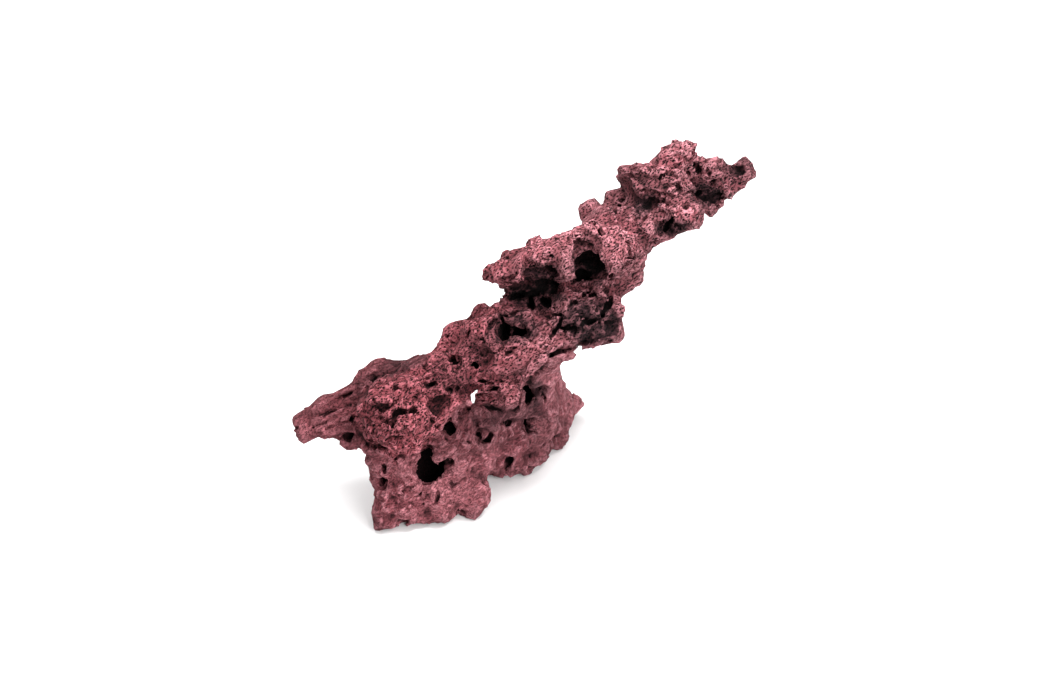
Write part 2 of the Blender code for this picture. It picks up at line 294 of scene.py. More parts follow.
HIGH_HOLLOWS = [
    Hollow(99.0, 135.0, 20, 7, 4, -8),
    Hollow(82.0, 121.0, 9, 5, 4, 35),
    Hollow(108.0, 96.0, 3, 9, 4, -25),
    Hollow(136.8, 159.2, 4.2, 1.7, 6, 20),
    Hollow(82.4, 140.0, 4.5, 1.6, 5, -10),
    Hollow(104.0, 125.6, 11, 3, 6, -5),
    Hollow(114.0, 123.5, 8, 2, 5),
    Hollow(108.4, 137.6, 1.5, 3.4, 6),
    Hollow(123.2, 129.6, 5.8, 2.1, 6, -45),
    Hollow(128.8, 142.4, 4.8, 1.5, 6, -60),
    Hollow(135.2, 149.6, 1.6, 1.6, 4),
    Hollow(124.0, 149.2, 1.8, 1.4, 4),
    Hollow(114.4, 138.4, 8, 5, 2.5),
    Hollow(88.0, 114.4, 8, 1.8, 9, -50),
    Hollow(95.2, 104.8, 5.2, 1.6, 7, 30),
    Hollow(98.4, 116.8, 7, 4.5, 4, 15),
    Hollow(114.4, 99.2, 8, 1.7, 8, 65),
    Hollow(108.0, 91.2, 5.8, 1.4, 7, 50),
    Hollow(119.2, 95.2, 8, 5, 5, 10),
    Hollow(121.6, 98.4, 2.2, 1.8, 8),
    Hollow(126.0, 93.6, 2.4, 1.6, 8),
    Hollow(128.8, 116.0, 3.2, 1.2, 4, 75),
    Hollow(136.8, 98.4, 3.8, 1.7, 6, 45),
    Hollow(147.0, 123.5, 12, 5.5, 10, -10),
    Hollow(135.0, 126.0, 5.5, 1.2, 7, 4),
    Hollow(169.6, 145.6, 6, 5, 4, 30),
    Hollow(172.0, 145.6, 2.2, 3.6, 4, 20),
    Hollow(147.2, 140.0, 1.6, 4, 5),
    Hollow(151.2, 133.6, 3.2, 3, 5),
    Hollow(139.2, 141.6, 1.1, 3.6, 5),
    Hollow(72.0, 114.0, 1.5, 4, 4, 20),
]
FOOT_CAVES = [
    Hollow(-76.0, -93.5, 12.5, 14.5, 22, -20),
    Hollow(-77.6, -81.0, 5, 5, 15),
    Hollow(-64.0, -90.0, 9, 4, 14, 10),
    Hollow(-112.0, -95.0, 2.2, 5.0, 7),
    Hollow(-111.0, -103.5, 2.2, 6.9, 9, 6),
    Hollow(-60.0, -63.2, 5.8, 5.0, 11, -30),
    Hollow(-37.6, -59.2, 2.0, 5.8, 9, 5),
    Hollow(-36.8, -68.8, 4.3, 2.0, 9, -50),
    Hollow(-32.0, -72.8, 5.8, 2.6, 10),
    Hollow(-28.0, -69.6, 4.8, 1.9, 9, 70),
    Hollow(-14.4, -58.4, 5.0, 3.1, 10),
    Hollow(0.8, -60.0, 7.8, 2.6, 10, -70),
    Hollow(4.8, -64.8, 6.0, 1.9, 9, -8),
    Hollow(26.4, -52.8, 5.5, 2.1, 7, -50),
    Hollow(-12.0, -87.2, 4.3, 2.9, 9, 30),
    Hollow(-13.6, -91.2, 4.1, 2.0, 8, 70),
    Hollow(14.4, -36.8, 9, 1.7, 7, -68),
    Hollow(29.6, -0.8, 9, 1.7, 9, 12),
    Hollow(22.4, -4.0, 2.6, 2.6, 9),
    Hollow(-104.8, -85.6, 5.5, 4.2, 5),
    Hollow(-45.6, -74.4, 2.9, 1.8, 5, -30),
    Hollow(-83.2, -117.0, 2.0, 7.5, 3, 5),
    Hollow(-70.4, -121.0, 2.0, 7.5, 3, -8),
    Hollow(-94.0, -112.0, 6.0, 2.5, 3, 30),
    Hollow(-50.0, -105.0, 9.6, 2.5, 3, 20),
    Hollow(-97.6, -139.2, 4.8, 6.2, 9),
    Hollow(-77.0, -141.0, 5.4, 2.8, 7),
    Hollow(-52.0, -131.2, 5.8, 3.8, 8, -30),
    Hollow(-24.0, -104.8, 5.0, 3.2, 7),
    Hollow(-12.0, -102.4, 5.5, 3.2, 7),
    Hollow(4.0, -96.0, 3.6, 3.8, 6),
    Hollow(22.4, -80.0, 7.2, 2.5, 7, 30),
]
FAR_HOLLOWS = [
    Hollow(-61.6, 11.2, 2.4, 1.8, 4),
    Hollow(-59.0, 6.5, 3, 1.0, 3, -20),
    Hollow(-50.4, 20.0, 3.4, 1.0, 4, -50),
]
ADDED = [
    Added(-130.0, -61.0, 13, 2.4, 5, -55),
    Added(-129.6, -36.0, 13, 2.2, 4.5, 75),
    Added(10.4, -9.6, 21, 3.4, 3.5, 43),
    Added(-4.0, 63.2, 9, 2.0, 5, 80),
    Added(33.6, 64.8, 6, 8, 9, -10),
    Added(59.2, 72.6, 5, 2.2, 6, 10, 6),
    Added(61.0, 60.2, 5.5, 1.5, 6, 8, 5),
    Added(71.5, 69.0, 6.5, 9, 8, -15),
    Added(54.4, 94.8, 11, 2.3, 4, -42),
    Added(74.4, 31.2, 4.5, 8, 3),
    Added(62.4, 43.2, 8, 2.6, 4, -42),
    Added(102.4, 146.5, 28, 2.6, 8, 1),
    Added(80.0, 144.3, 6, 3.2, 5, -5, 2),
    Added(113.0, 160.0, 6, 4, 5, 0, 3),
    Added(136.5, 165.0, 3.2, 5.5, 4, -15, 2),
    Added(-34.5, -38.0, 7, 4.5, 5, 20),
    Added(-47.5, -41.8, 5.5, 2.4, 4, 0, 2),
    Added(-40.0, -41.8, 5, 3, 5, 0, 2),
    Added(-43.5, -41.5, 4.5, 3, 5, 0, 3),
    Added(-30.0, -36.0, 8, 5, 4),
    Added(-35.5, -33.0, 4, 2.5, 4, 0, 2),
    Added(-12.0, -42.0, 5, 4, 4),
    Added(52.0, 3.6, 12, 1.3, 4, 2),
    Added(32.0, -4.5, 7, 3.5, 5, 0, 2),
    Added(38.0, -4.0, 3, 4.5, 4, 0, 2),
    Added(118.0, 109.0, 14, 2.2, 3, -30),
    Added(-99.0, -60.0, 13, 6.5, 3.5, 10),
    Added(-14.0, 61.0, 17, 10, 9, 0, 5),
    Added(128.8, 110.4, 12, 12, 4),
    Added(76.0, 84.0, 15, 13, 4, -30),
    Added(98.0, 98.0, 6, 11, 3.5),
    Added(118.0, 157.0, 12, 8, 4, 20, 1),
    Added(14.0, 76.0, 14, 7, 4, 15),
    Added(-30.0, 22.0, 12, 5, 3, 45),
    Added(-114.0, -33.0, 9, 5, 3, 30),
]

# Darker, greyer patches, partly greyer stone and partly painted shade in the recess and cavern under the
# shelf, on the block below it and in other hollows: where they are seen, half width, half height, turn.
GREY_AND_SHADED_PATCHES = [
    Patch(52.0, 22.0, 27, 19),
    Patch(8.0, 42.0, 24, 11, -5),
    Patch(51.0, 66.0, 15, 9),
    Patch(12.0, 61.0, 16, 6, 8),
    Patch(98.4, 116.8, 11, 8, 15),
    Patch(147.0, 124.0, 14, 8, -10),
    Patch(119.2, 96.0, 12, 8),
    Patch(-12.0, 17.0, 24, 13, 10),
    Patch(8.0, -36.0, 10, 12),
]
# Patches half as dark: painted shade in the saddle and along the top of the foot under the arm's edge.
DIM_SHADED_PATCHES = [
    Patch(-62.0, -22.0, 20, 18, 30),
    Patch(-12.0, -52.0, 36, 6, 8),
    Patch(8.0, -32.0, 10, 10),
    Patch(-104.0, -14.0, 34, 9, 20),
    Patch(-34.0, 5.0, 22, 13, 35),
    Patch(170.0, 150.0, 16, 14),
]
# Paler patches: chalkier stone on the front of the foot, and painted light on the lobes and ledges that face
# up to the light.
PALE_AND_LIT_PATCHES = [
    Patch(-98.0, -108.0, 28, 40),
    Patch(-66.0, -118.0, 44, 18, 10),
    Patch(34.0, -32.0, 24, 26, -60),
    Patch(-30.0, -90.0, 40, 10, 20),
    Patch(71.0, 86.0, 22, 18, -20),
    Patch(122.0, 110.0, 16, 10, 20),
    Patch(120.0, 155.0, 22, 10, 15),
    Patch(20.0, 86.0, 30, 9, 20),
    Patch(50.0, 104.0, 16, 12),
]
# Smooth patches with only fine dots on them: where they are seen, half width, half height, turn.
SMOOTH_PATCHES = [
    Patch(101.0, 148.5, 30, 3.5, 1),
    Patch(76.0, 145.0, 8, 6),
    Patch(34.0, 65.0, 5, 7),
    Patch(-4.0, 64.0, 3, 9, -10),
    Patch(114.0, 158.0, 8, 8),
    Patch(-10.4, -11.2, 27, 9, 12),
    Patch(100.0, 98.0, 5, 11),
    Patch(-69.6, -44.0, 10, 6, 20),
    Patch(20.0, 82.0, 14, 8, 15),
    Patch(-55.0, 15.0, 14, 14),
    Patch(50.0, 108.0, 14, 12),
    Patch(70.0, 86.0, 15, 13, -20),
    Patch(2.0, 75.0, 13, 5, 15),
    Patch(94.0, 136.0, 17, 8),
]

# Where the arm's lower edge hangs over the foot, from left to right, and where the bulb's rim stands
# in front of the tail, from the bottom to the top: u and v as seen on the face, in millimetres.
ARM_EDGE = [
    (-122, -78), (-104, -84), (-80, -80), (-68, -64), (-56, -46), (-47, -38), (-40, -40), (-28, -44),
    (-16, -46), (-5, -43), (-2, -28), (12, -14), (22, 0), (42, 6),
]
BULB_RIM = [(-122, -80), (-130, -66), (-138, -53), (-130, -40), (-122, -28), (-112, -18), (-80, -14)]


def smooth_copy(node):
    """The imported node's shape with its facets rounded off, as a search tree in millimetres."""
    made = bpy.data.objects.new("base shape", bpy.data.objects[node].data.copy())
    bpy.context.scene.collection.objects.link(made)
    skin = made.modifiers.new("even grain", "REMESH")
    skin.mode = "VOXEL"
    skin.voxel_size = EVEN_GRAIN * MM
    ease = made.modifiers.new("ease", "SMOOTH")
    ease.iterations = EASE_ROUNDS
    shape = made.evaluated_get(bpy.context.evaluated_depsgraph_get()).to_mesh()
    places = np.empty(3 * len(shape.vertices), dtype=np.float32)
    shape.vertices.foreach_get("co", places)
    faces = [tuple(face.vertices) for face in shape.polygons]
    bpy.data.objects.remove(made)
    return BVHTree.FromPolygons((places.reshape(-1, 3) / MM).tolist(), faces)


def gaps(tree, places):
    """Distance from the base shape to each place, below zero inside it."""
    found = np.empty(len(places), dtype=np.float32)
    for i, place in enumerate(places.tolist()):
        near, normal, _, gap = tree.find_nearest(place)
        found[i] = math.copysign(gap, (Vector(place) - near).dot(normal))
    return found


def finer(values, steps):
    """A grid with each interval cut into that many steps, filled in along straight lines."""
    for axis in range(3):
        values = np.moveaxis(values, axis, 0)
        first, after = values[:-1], values[1:]
        rows = [first + (after - first) * np.float32(k / steps) for k in range(steps)]
        body = np.stack(rows, axis=1).reshape(-1, *values.shape[1:])
        values = np.moveaxis(np.concatenate([body, values[-1:]]), 0, axis)
    return values


def distances(tree, low, shape):
    """The base shape's distances on the middle grid: exact near the surface, filled in elsewhere."""
    middle = GRAIN * MIDDLE_STEPS
    spread = low + middle * COARSE_STEPS * np.argwhere(np.ones(shape, dtype=bool))
    field = finer(gaps(tree, spread).reshape(shape), COARSE_STEPS)
    close = np.argwhere(np.abs(field) < NEAR)
    field[tuple(close.T)] = gaps(tree, low + middle * close)
    return field


def scatter(cells, pattern):
    """Three numbers from 0 to 1 for each whole-numbered cell, the same ones every time."""
    x, y, z = (cells.astype(np.uint32) * CELL_FACTORS).T
    mixed = x ^ y ^ z ^ np.uint32(pattern * PATTERN_FACTOR)
    for shift, factor in MIXES:
        mixed = (mixed ^ (mixed >> np.uint32(shift))) * np.uint32(factor)
    parts = [(mixed >> np.uint32(shift)) & np.uint32(1023) for shift in (0, 10, 20)]
    return np.stack(parts, axis=1).astype(np.float32) / np.float32(1023)


def cell_of(points, wide):
    """The whole-numbered cell that each point is in, and its place in that cell from 0 to 1."""
    place = points / np.float32(wide)
    cell = np.floor(place).astype(np.int32)
    return cell, (place - cell).astype(np.float32)


def soft_noise(points, wide, pattern):
    """Smooth noise from about -1 to 1, whose lumps are about that many millimetres across."""
    cell, part = cell_of(points, wide)
    ease = part * part * (3 - 2 * part)
    total = np.zeros(len(points), dtype=np.float32)
    for corner in np.ndindex(2, 2, 2):
        at = np.array(corner, dtype=np.int32)
        weight = np.prod(np.where(at == 1, ease, 1 - ease), axis=1)
        slope = scatter(cell + at, pattern) - np.float32(0.5)
        total += weight * np.einsum("ij,ij->i", slope, part - at)
    return total * np.float32(3.6)


def seeds_near(points, wide, pattern):
    """The 27 cells round each point, one after the other, and the way from the point to their seed."""
    cell, part = cell_of(points, wide)
    for corner in np.ndindex(3, 3, 3):
        at = np.array(corner, dtype=np.int32) - 1
        yield cell + at, scatter(cell + at, pattern) + at - part


def seed_noise(points, wide, pattern):
    """Distance to the nearest of scattered seeds, in cells of that width."""
    nearest = np.full(len(points), 9, dtype=np.float32)
    for _, apart in seeds_near(points, wide, pattern):
        nearest = np.minimum(nearest, np.einsum("ij,ij->i", apart, apart))
    return np.sqrt(nearest)


def chip_noise(points, wide, pattern):
    """Flat chips tilted each its own way, with small steps between them, from about -1 to 1."""
    nearest = np.full(len(points), 9, dtype=np.float32)
    height = np.zeros(len(points), dtype=np.float32)
    for cell, apart in seeds_near(points, wide, pattern):
        gap = np.einsum("ij,ij->i", apart, apart)
        tilt = scatter(cell, pattern + 1) - np.float32(0.5)
        height = np.where(gap < nearest, np.einsum("ij,ij->i", apart, tilt), height)
        nearest = np.minimum(nearest, gap)
    return height * np.float32(4)


def scoop_noise(points, wide, pattern):
    """Shallow scoops sunk each its own way that meet in sharp ridges, from about -0.4 to 0.6."""
    lowest = np.full(len(points), 9, dtype=np.float32)
    for cell, apart in seeds_near(points, wide, pattern):
        tilt = np.float32(1.6) * (scatter(cell, pattern + 1) - np.float32(0.5))
        lowest = np.minimum(lowest, np.einsum("ij,ij->i", apart, apart + tilt))
    return lowest - np.float32(0.2)


def layers(points, kinds):
    """Soft noise of each kind, added up."""
    return sum(kind.deep * soft_noise(points, kind.wide, kind.pattern) for kind in kinds)


def shifts(points, kinds):
    """Soft noise of each kind in the three directions, added up."""
    return np.stack([layers(points, [kind._replace(pattern=kind.pattern + k) for kind in kinds])
                     for k in range(3)], axis=1)


def face_axes():
    """The directions of u, v and w on the arm's leaning face."""
    c, s = math.cos(FACE_TURNED_UP), math.sin(FACE_TURNED_UP)
    return np.array([(1, 0, 0), (0, c, s), (0, -s, c)])


def as_seen(points):
    """Where each point is seen on the face, as u and v, and how far it is out of the face."""
    u, v, w = ((points - FACE_CENTRE) @ face_axes().T).T
    nearer = VIEW_FROM / (VIEW_FROM - w)
    return u * nearer, v * nearer, w


def spot_seen_at(tree, u, v):
    """The place on the base shape that is seen at u and v on the face."""
    across, up, out = face_axes()
    eye = FACE_CENTRE + VIEW_FROM * out
    aim = FACE_CENTRE + u * across + v * up
    place, _, _, _ = tree.ray_cast(Vector(eye), Vector(aim - eye))
    return np.array(place) if place else None


def work_in(field, low, tree, form, depth, ragged, square):
    """The part of the grid round a form, and the form's own distances there. Its rim is ragged by
    that much, and the form is an ellipsoid for square 2 and boxier above that."""
    centre = spot_seen_at(tree, form.u, form.v)
    if centre is None:
        return None, None
    across, up, out = face_axes()
    if isinstance(form, Added):
        centre = centre - form.sunk * out
    reach = 1.2 * max(form.wide, form.high, depth) + 4
    first = np.maximum(np.floor((centre - reach - low) / GRAIN).astype(int), 0)
    last = np.minimum(np.ceil((centre + reach - low) / GRAIN).astype(int) + 1, field.shape)
    part = tuple(slice(a, b) for a, b in zip(first, last))
    places = (low + GRAIN * np.stack(np.mgrid[part], axis=-1).reshape(-1, 3)).astype(np.float32)
    for kind in RAGGED_RIMS:
        places = places + ragged * shifts(places, [kind])
    turn = math.radians(form.turn)
    long_way = math.cos(turn) * across + math.sin(turn) * up
    short_way = math.cos(turn) * up - math.sin(turn) * across
    moved = places - centre
    ring = np.hypot(moved @ long_way / form.wide, moved @ short_way / form.high)
    reach_in = np.abs(moved @ out) / depth
    size = (ring ** square + reach_in ** square) ** (1 / square)
    gap = (size - 1) * min(form.wide, form.high, depth)
    return part, gap.reshape(field[part].shape).astype(np.float32)


def carve(field, low, tree, hollows):
    """Cuts each hollow into the field, with ragged edges and steep walls."""
    for form in hollows:
        part, gap = work_in(field, low, tree, form, form.deep, ragged=1.5, square=3)
        if part is not None:
            field[part] = np.maximum(field[part], -gap)


def build_out(field, low, tree, forms):
    """Adds each form to the field, running softly into the rock round it over 3 mm."""
    for form in forms:
        part, gap = work_in(field, low, tree, form, form.out, ragged=1.3, square=2)
        if part is not None:
            both = np.clip(0.5 + (field[part] - gap) / 3, 0, 1)
            field[part] = field[part] + (gap - field[part]) * both - 1.5 * both * (1 - both)


def stretched(points, degrees, times):
    """The points squeezed along a direction on the face, so that noise read at them runs that way."""
    across, up, _ = face_axes()
    way = math.cos(math.radians(degrees)) * across + math.sin(math.radians(degrees)) * up
    way = way.astype(np.float32)
    return points - (points @ way)[:, None] * way * np.float32(1 - 1 / times)


def step_up(values, start, end):
    """From 0 at the start to 1 at the end, easing in and out."""
    share = np.clip((values - start) / (end - start), 0, 1)
    return share * share * (3 - 2 * share)


def patch_share(u, v, patches):
    """How far each point seen at u and v is in one of the patches, from 0 to 1."""
    most = np.zeros(len(u), dtype=np.float32)
    for patch in patches:
        turn = math.radians(patch.turn)
        along = (u - patch.u) * math.cos(turn) + (v - patch.v) * math.sin(turn)
        over = (v - patch.v) * math.cos(turn) - (u - patch.u) * math.sin(turn)
        apart = np.hypot(along / patch.wide, over / patch.high)
        most = np.maximum(most, 1 - step_up(apart, 0.7, 1.15))
    return most


def seen_parts(u, v, wander=0):
    """How far each place is seen below the arm's lower edge and left of the bulb's rim, in
    millimetres, and how much of it is foot and how much tail, from 0 to 1."""
    along, edge = np.array(ARM_EDGE, dtype=np.float32).T
    rim, height = np.array(BULB_RIM, dtype=np.float32).T
    under = np.interp(u, along, edge) - v + wander
    left = np.interp(v, height, rim) - u + wander
    foot = step_up(under, -1, 2)
    tail = step_up(left, -1, 2) * (1 - foot)
    return under, left, foot, tail


def still_rough(lost, smooth, tail, foot):
    """How much of a roughness is left, from 0 to 1."""
    return (1 - lost.smooth * smooth) * (1 - lost.tail * tail) * (1 - lost.foot * foot)


def craggy(field, bent, rough, fine):
    """The field with scoops, chips, creases and grit, from coarse to fine."""
    run = stretched(bent, GRAIN_RUNS, LONG_PITS)
    creased = stretched(bent, GRAIN_RUNS, LONG_CREASES)
    field = field - rough * SCOOPS.deep * scoop_noise(bent, SCOOPS.wide, SCOOPS.pattern)
    field -= rough * SMALL_SCOOPS.deep * scoop_noise(run, SMALL_SCOOPS.wide, SMALL_SCOOPS.pattern)
    field -= fine * CHIPS.deep * chip_noise(run, CHIPS.wide, CHIPS.pattern)
    ridges = np.abs(soft_noise(creased, CREASES.wide, CREASES.pattern)) - 0.28
    field += fine * CREASES.deep * ridges
    field -= fine * GRIT.deep * soft_noise(creased, GRIT.wide, GRIT.pattern)
    return field


def pitted(field, run, kind, open_here):
    """The field with a hole round each seed that is nearer than that share of a cell."""
    nearest = seed_noise(run, kind.wide, kind.pattern)
    return field + kind.deep * step_up(open_here - nearest, 0.0, 0.2)


def grooved(field, points, warp, tail, foot):
    """The field with long grooves in the tail, and with upright flutes and flat chips in the foot."""
    grooves = stretched(points + 0.3 * warp, GROOVES_RUN, LONG_GROOVES)
    ridges = 0.3 - np.abs(soft_noise(grooves, GROOVES.wide, GROOVES.pattern))
    field = field - tail * GROOVES.deep * ridges
    field -= tail * FINE_GROOVES.deep * soft_noise(grooves, FINE_GROOVES.wide, FINE_GROOVES.pattern)
    upright = (points + 0.6 * warp) * np.array([1, 1, 0.25], dtype=np.float32)
    field -= foot * FLUTES.deep * soft_noise(upright, FLUTES.wide, FLUTES.pattern)
    field -= foot * FOOT_CHIPS.deep * chip_noise(points + warp, FOOT_CHIPS.wide, FOOT_CHIPS.pattern)
    return field


def undercut(field, points, under, left, tail):
    """The field cut back close under the arm's edge, here more and there less, and behind the bulb's rim."""
    u, v, _ = as_seen(points)
    here = 0.35 + 0.65 * step_up(soft_noise(points, 12, 523), -0.3, 0.3)
    here = here * step_up(np.abs(u - GAP_AT), 5, 12) * step_up(u, -110, -80)
    field = field + EDGE_CUT * here * step_up(under, -0.5, 1.5) * (1 - step_up(under, 2, 8))
    field += RIM_CUT * tail * (1 - step_up(left, 1, 7)) * (1 - step_up(v, -24, -16))
    return field


def roughened(points, field):
    """The field with the crags, creases, pits and pores of reef rock worked into it."""
    u, v, _ = as_seen(points)
    smooth = patch_share(u, v, SMOOTH_PATCHES)
    under, left, foot, tail = seen_parts(u, v, layers(points, BORDER_WANDERS))
    rough = still_rough(ROUGH_LOST, smooth, tail, foot)
    fine = still_rough(FINE_LOST, smooth, tail, foot)
    fine = fine * (0.55 + 0.6 * step_up(soft_noise(points, 30, 5), -0.5, 0.4))
    warp = shifts(points, BENDS)
    field = craggy(field, points + warp, rough, fine)

    run = stretched(points + warp, GRAIN_RUNS, LONG_PITS)
    open_pits = 0.4 * step_up(soft_noise(points, 19, 8), -0.1, 0.7) * rough
    open_pores = 0.5 * step_up(soft_noise(points, 13, 9), -0.6, 0.5) * (0.2 + 0.8 * rough)
    field = pitted(field, run, PITS, open_pits)
    field = pitted(field, run, PORES, open_pores)
    field = grooved(field, points, warp, tail, foot)
    return undercut(field, points, under, left, tail)


def blurred(values, cells):
    """A grid in which each value is the mean of those round it, that many cells each way."""
    wide = 2 * cells + 1
    for axis in range(3):
        values = np.moveaxis(values, axis, 0)
        padded = np.concatenate([values[:1]] * (cells + 1) + [values] + [values[-1:]] * cells)
        sums = np.cumsum(padded, axis=0, dtype=np.float32)
        values = np.moveaxis((sums[wide:] - sums[:-wide]) / np.float32(wide), 0, axis)
    return values


def read_off(values, low, places):
    """The grid's values at places between its points."""
    spot = (places - low) / GRAIN
    cell = np.clip(np.floor(spot).astype(int), 0, np.array(values.shape) - 2)
    part = spot - cell
    total = np.zeros(len(places))
    for corner in np.ndindex(2, 2, 2):
        weight = np.prod(np.where(corner, part, 1 - part), axis=1)
        total += weight * values[tuple((cell + corner).T)]
    return total


def crossings(field, cells):
    """For each cell that the surface passes through, the mean place where it crosses the cell's edges."""
    corners = list(np.ndindex(2, 2, 2))
    values = [field[tuple((cells + corner).T)] for corner in corners]
    place = np.zeros((len(cells), 3), dtype=np.float32)
    hits = np.zeros(len(cells), dtype=np.float32)
    for a, b in ((a, b) for a in range(8) for b in range(a + 1, 8)):
        apart = np.subtract(corners[b], corners[a])
        if abs(apart).sum() != 1:
            continue
        crossed = (values[a] < 0) != (values[b] < 0)
        share = values[a][crossed] / (values[a][crossed] - values[b][crossed])
        place[crossed] += np.array(corners[a]) + share[:, None] * apart
        hits[crossed] += 1
    return place / hits[:, None]


def surface(field, low):
    """The corners and four-sided faces of the surface where the field passes zero."""
    inside = field < 0
    count = np.zeros(tuple(n - 1 for n in field.shape), dtype=np.int8)
    for corner in np.ndindex(2, 2, 2):
        window = tuple(slice(o, n - 1 + o) for o, n in zip(corner, field.shape))
        count += inside[window]
    cells = np.argwhere((count > 0) & (count < 8)).astype(np.int32)
    number = np.full(count.shape, -1, dtype=np.int32)
    number[tuple(cells.T)] = np.arange(len(cells))
    places = low + GRAIN * (cells + crossings(field, cells))
    faces = []
    for axis in range(3):
        side, up = (axis + 1) % 3, (axis + 2) % 3
        first = inside[tuple(slice(0, -1) if k == axis else slice(1, -1) for k in range(3))]
        after = inside[tuple(slice(1, None) if k == axis else slice(1, -1) for k in range(3))]
        for leaving in (True, False):
            edge = np.argwhere((first != after) & (first == leaving))
            edge[:, side] += 1
            edge[:, up] += 1
            ring = []
            for a, b in ((1, 1), (0, 1), (0, 0), (1, 0)):
                spot = edge.copy()
                spot[:, side] -= a
                spot[:, up] -= b
                ring.append(number[tuple(spot.T)])
            quad = np.stack(ring, axis=1)
            faces.append(quad if leaving else quad[:, ::-1])
    return places, np.concatenate(faces)


def largest_piece(faces, total):
    """The faces of the one largest connected piece."""
    label = np.arange(total)
    pairs = np.concatenate([faces[:, [k, (k + 1) % 4]] for k in range(4)])
    while True:
        lower = np.minimum(label[pairs[:, 0]], label[pairs[:, 1]])
        fresh = label.copy()
        np.minimum.at(fresh, pairs[:, 0], lower)
        np.minimum.at(fresh, pairs[:, 1], lower)
        fresh = fresh[fresh]
        if (fresh == label).all():
            break
        label = fresh
    home = label[faces[:, 0]]
    return faces[home == np.bincount(home).argmax()]


def in_front(places):
    """Which places are on the side that is seen, or close behind it."""
    u, v, w = as_seen(places)
    column = np.floor(np.stack([u, v], axis=1) / COLUMN).astype(int)
    column -= column.min(axis=0)
    nearest = np.full(column.max(axis=0) + 1, -np.inf)
    np.maximum.at(nearest, tuple(column.T), w)
    return w > nearest[tuple(column.T)] - FRONT_DEPTH


def face_centres(mesh):
    """The middle of each face, in millimetres."""
    middles = np.empty(3 * len(mesh.polygons), dtype=np.float32)
    mesh.polygons.foreach_get("center", middles)
    return middles.reshape(-1, 3) / MM


def thin_out(made, chosen, triangles):
    """Fewer triangles in the chosen faces, down to about that many."""
    made.data.polygons.foreach_set("select", chosen)
    bpy.ops.object.mode_set(mode="EDIT")
    bpy.ops.mesh.decimate(ratio=min(1.0, triangles / (2 * int(chosen.sum()))))
    bpy.ops.object.mode_set(mode="OBJECT")


def thinned(made):
    """Thins out the side that isn't seen, and then the side that is, whose faces still have four corners."""
    for other in bpy.context.view_layer.objects:
        other.select_set(other is made)
    bpy.context.view_layer.objects.active = made
    bpy.context.scene.tool_settings.mesh_select_mode = (False, False, True)
    thin_out(made, ~in_front(face_centres(made.data)), BACK_TRIANGLES)
    front = np.array([len(face.vertices) == 4 for face in made.data.polygons])
    thin_out(made, front, FRONT_TRIANGLES)


def rock_field(node):
    """The grid of distances that the surface is read from, the same before its hollows were cut,
    and the place of their first point."""
    low, high = (np.array(corner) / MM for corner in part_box(node))
    step = GRAIN * MIDDLE_STEPS * COARSE_STEPS
    low = low - 2 * step
    shape = tuple(int(n) for n in np.ceil((high + 2 * step - low) / step) + 1)
    tree = smooth_copy(node)
    field = finer(distances(tree, low, shape), MIDDLE_STEPS)
    build_out(field, low, tree, ADDED)
    uncut = field.copy()
    carve(field, low, tree, TAIL_HOLLOWS + BULB_HOLLOWS + SADDLE_HOLLOWS + BLOCK_HOLLOWS)
    carve(field, low, tree, RECESS_HOLLOWS + SHELF_HOLLOWS + UNDER_HOLLOWS + HIGH_HOLLOWS)
    carve(field, low, tree, FOOT_CAVES + FAR_HOLLOWS)
    band = np.argwhere(np.abs(field) < REACH)
    points = (low + GRAIN * band).astype(np.float32)
    shares = np.array_split(np.arange(len(band)), len(band) // SHARE + 1)
    with ThreadPoolExecutor() as workers:
        rough = workers.map(lambda share: roughened(points[share], field[tuple(band[share].T)]), shares)
        field[tuple(band.T)] = np.concatenate(list(rough))
    heights = low[2] + GRAIN * np.arange(field.shape[2])
    return np.maximum(field, -heights[None, None, :].astype(np.float32)), uncut, low


def keep_value(mesh, name, values):
    """Keeps one number for each corner of the surface, for the material to read."""
    kept = mesh.attributes.new(name, "FLOAT", "POINT")
    kept.data.foreach_set("value", values.astype(np.float32))


def keep_relief(mesh, corners, field, uncut, low):
    """Keeps how sharply each corner stands out from the skin round it, and how deep in a hollow it is, for
    the material's painted highlight and painted shade.
    """
    flattened = np.clip(field, -CREST_LIMIT, CREST_LIMIT)
    keep_value(mesh, "fine crest", read_off(blurred(flattened, FINE_CREST), low, corners))
    keep_value(mesh, "broad crest", read_off(blurred(flattened, BROAD_CREST), low, corners))
    keep_value(mesh, "depth in hollow", -read_off(uncut, low, corners))


def keep_colours(mesh, corners):
    """Keeps how dark, pale, red and grainy each corner is: grey stone and painted shade in dark patches,
    chalky stone and painted light in pale ones, a paler foot with little grain, a redder low end.
    """
    u, v, _ = as_seen(corners)
    _, _, foot, tail = seen_parts(u, v)
    wander_u, wander_v = (layers(corners, [kind]) for kind in PATCH_WANDERS)
    spot = u + wander_u, v + wander_v
    # Painted shade in the grey and shaded patches, and half as much in the dim ones, mixed with greyer
    # stone.
    dark = np.maximum(patch_share(*spot, GREY_AND_SHADED_PATCHES), 0.5 * patch_share(*spot, DIM_SHADED_PATCHES))
    # Painted light on the lobes and ledges in the pale patches, mixed with chalkier stone on the foot.
    pale = patch_share(*spot, PALE_AND_LIT_PATCHES)
    keep_value(mesh, "dark patch", dark)
    # This darkens the stone for stain and painted shade, and pales it for chalky stone, painted light and
    # the foot.
    keep_value(mesh, "tone", (1 - 0.6 * dark) * (1 + 0.5 * pale) * (0.88 + 0.2 * foot))
    keep_value(mesh, "grain", 1 - np.maximum(0.68 * foot, 0.75 * tail))
    keep_value(mesh, "redder", (1 - step_up(u, -60, 40)) * (1 - 0.8 * foot) * (1 - 0.4 * tail))
    grain = stretched(corners + shifts(corners, COLOUR_BENDS), GRAIN_RUNS, LONG_PORES)
    kept = mesh.attributes.new("grain place", "FLOAT_VECTOR", "POINT")
    kept.data.foreach_set("vector", (grain * MM).astype(np.float32).ravel())


